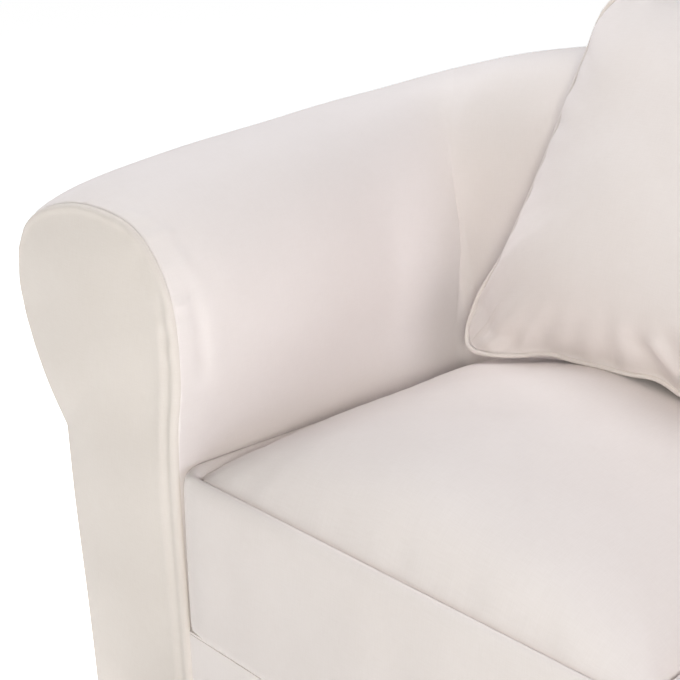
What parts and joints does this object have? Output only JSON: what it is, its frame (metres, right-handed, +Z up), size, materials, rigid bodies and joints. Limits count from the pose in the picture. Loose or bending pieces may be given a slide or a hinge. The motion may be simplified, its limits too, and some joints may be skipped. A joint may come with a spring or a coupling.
{
  "type": "sofa slipcover set",
  "caption": "Fitted canvas cover for a two-seat sofa with rolled arms and back, with box seat cushions and piped back cushions in place.",
  "frame": {"origin": "on the floor, at the middle of the set's width and of its depth", "axes": "+Z up; +X to the viewer's right of a person who faces the sofa's front; +Y from the front to the back"},
  "size_m": [1.8064, 0.8907, 0.9463],
  "materials": {
    "canvas": "closely woven matt cotton canvas, warm off-white",
    "cushion_canvas": "the same canvas over a soft filling",
    "piping": "the same canvas round a cord, cut on the bias"
  },
  "bodies": {
    "root": {"arm_front_left": "canvas", "arm_front_right": "canvas", "arm_inside_left": "canvas", "arm_inside_right": "canvas", "arm_outside_left": "canvas", "arm_outside_right": "canvas", "back_inside": "canvas", "back_outside": "canvas", "seat_deck": "canvas", "front_rail": "canvas", "seat_cushion_left": "cushion_canvas", "seat_cushion_right": "cushion_canvas", "back_cushion_left": "cushion_canvas", "back_cushion_right": "cushion_canvas", "back_cushion_piping_left": "piping", "back_cushion_piping_right": "piping"}
  },
  "joints": []
}
